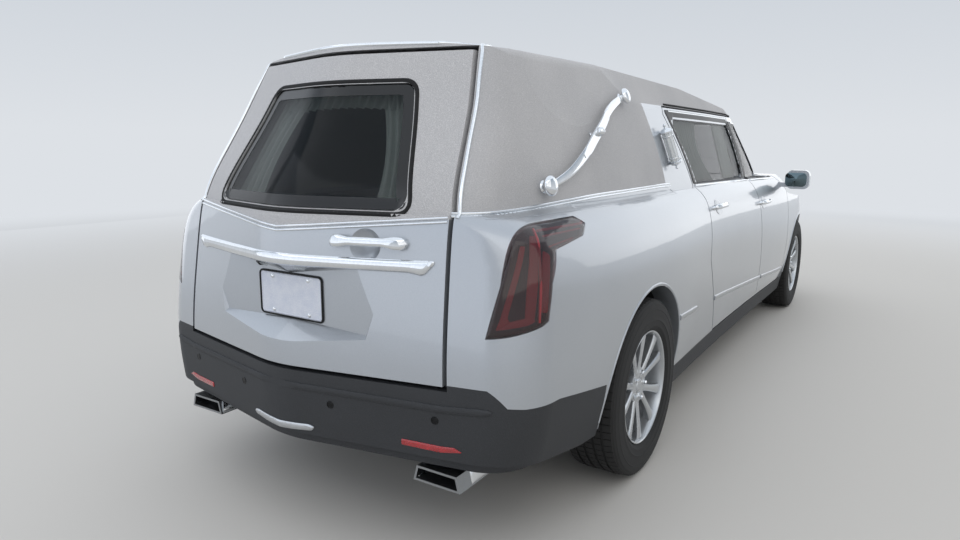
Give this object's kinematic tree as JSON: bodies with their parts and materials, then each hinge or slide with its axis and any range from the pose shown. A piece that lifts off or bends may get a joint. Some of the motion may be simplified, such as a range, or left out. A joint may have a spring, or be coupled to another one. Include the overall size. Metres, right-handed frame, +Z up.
{
  "type": "hearse",
  "caption": "Stretched hearse with vinyl roof, S-shaped landau bars, curtained glass, opening doors and hood, side-hinged rear door, steering front wheels and rolling road wheels.",
  "frame": {"origin": "on the ground, on the centre plane, midway between the two ends", "axes": "forward is -Y, the vehicle's left is +X, up is +Z"},
  "size_m": [2.17, 5.839, 1.7519],
  "materials": {
    "silver_paint": "gloss metallic",
    "vinyl": "fine grained matt",
    "dark_trim": "fine textured",
    "chrome": "polished",
    "tinted_glass": "tinted",
    "lamp_lens": "gloss",
    "headlamp_lens": "gloss",
    "tyre_rubber": "matt",
    "alloy": "painted silver",
    "underbody": "matt black",
    "steel": "dull",
    "upholstery": "matt",
    "curtain": "pleated",
    "deck": "satin",
    "plate": "matt"
  },
  "bodies": {
    "chassis": {"quarter_left": "silver_paint", "quarter_right": "silver_paint", "coach_panels": "silver_paint", "cowl": "silver_paint", "fender_left": "silver_paint", "fender_right": "silver_paint", "front_bumper": "silver_paint", "roof": "vinyl", "landau_panels": "vinyl", "sills": "dark_trim", "rear_bumper": "dark_trim", "grille": "dark_trim", "dashboard": "dark_trim", "steering_wheel": "dark_trim", "belt_mouldings": "chrome", "landau_bars": "chrome", "coach_lamps": "chrome", "windscreen": "tinted_glass", "tail_lamps": "lamp_lens", "headlamps": "headlamp_lens", "floor_pan": "underbody", "wheelhouses": "underbody", "subframes": "underbody", "engine_block": "underbody", "exhaust": "steel", "deck_rollers": "steel", "front_seats": "upholstery", "side_curtains": "curtain", "casket_deck": "deck"},
    "hood": {"hood": "silver_paint"},
    "front_door_left": {"front_door_left": "silver_paint", "front_door_glass_left": "tinted_glass", "mirror_left": "dark_trim"},
    "front_door_right": {"front_door_right": "silver_paint", "front_door_glass_right": "tinted_glass", "mirror_right": "dark_trim"},
    "rear_door_left": {"rear_door_left": "silver_paint", "rear_door_glass_left": "tinted_glass"},
    "rear_door_right": {"rear_door_right": "silver_paint", "rear_door_glass_right": "tinted_glass"},
    "tailgate": {"tailgate": "silver_paint", "tailgate_glass": "tinted_glass", "tailgate_trim": "chrome", "tailgate_curtain": "curtain", "number_plate": "plate"},
    "knuckle_left": {"knuckle_left": "underbody"},
    "knuckle_right": {"knuckle_right": "underbody"},
    "wheel_front_left": {"front_tyre_left": "tyre_rubber", "front_rim_left": "alloy"},
    "wheel_front_right": {"front_tyre_right": "tyre_rubber", "front_rim_right": "alloy"},
    "wheel_rear_left": {"rear_tyre_left": "tyre_rubber", "rear_rim_left": "alloy"},
    "wheel_rear_right": {"rear_tyre_right": "tyre_rubber", "rear_rim_right": "alloy"}
  },
  "joints": [
    {"name": "hood_hinge", "type": "hinge", "parent": "chassis", "child": "hood", "pos_m": [0, -1.47, 1.045], "axis": [-1, 0, 0], "range_deg": [0, 48]},
    {"name": "front_door_left_hinge", "type": "hinge", "parent": "chassis", "child": "front_door_left", "pos_m": [0.938, -1.424, 0.75], "axis": [0, 0, -1], "range_deg": [0, 65]},
    {"name": "front_door_right_hinge", "type": "hinge", "parent": "chassis", "child": "front_door_right", "pos_m": [-0.938, -1.424, 0.75], "axis": [0, 0, 1], "range_deg": [0, 65]},
    {"name": "rear_door_left_hinge", "type": "hinge", "parent": "chassis", "child": "rear_door_left", "pos_m": [0.915, -0.614, 0.75], "axis": [0, 0, -1], "range_deg": [0, 65]},
    {"name": "rear_door_right_hinge", "type": "hinge", "parent": "chassis", "child": "rear_door_right", "pos_m": [-0.915, -0.614, 0.75], "axis": [0, 0, 1], "range_deg": [0, 65]},
    {"name": "tailgate_hinge", "type": "hinge", "parent": "chassis", "child": "tailgate", "pos_m": [0.636, 2.822, 1], "axis": [0, 0, -1], "range_deg": [0, 95]},
    {"name": "steer_left", "type": "hinge", "parent": "chassis", "child": "knuckle_left", "pos_m": [0.76, -1.97, 0.376], "axis": [0, 0, 1], "range_deg": [-34, 34]},
    {"name": "steer_right", "type": "hinge", "parent": "chassis", "child": "knuckle_right", "pos_m": [-0.76, -1.97, 0.376], "axis": [0, 0, 1], "range_deg": [-34, 34]},
    {"name": "wheel_front_left_spin", "type": "hinge", "parent": "knuckle_left", "child": "wheel_front_left", "pos_m": [0.816, -1.97, 0.376], "axis": [-1, 0, 0], "continuous": true},
    {"name": "wheel_front_right_spin", "type": "hinge", "parent": "knuckle_right", "child": "wheel_front_right", "pos_m": [-0.816, -1.97, 0.376], "axis": [-1, 0, 0], "continuous": true},
    {"name": "wheel_rear_left_spin", "type": "hinge", "parent": "chassis", "child": "wheel_rear_left", "pos_m": [0.816, 1.75, 0.376], "axis": [-1, 0, 0], "continuous": true},
    {"name": "wheel_rear_right_spin", "type": "hinge", "parent": "chassis", "child": "wheel_rear_right", "pos_m": [-0.816, 1.75, 0.376], "axis": [-1, 0, 0], "continuous": true}
  ],
  "couplings": [
    {"joint": "steer_right", "follows": "steer_left", "ratio": 1}
  ]
}
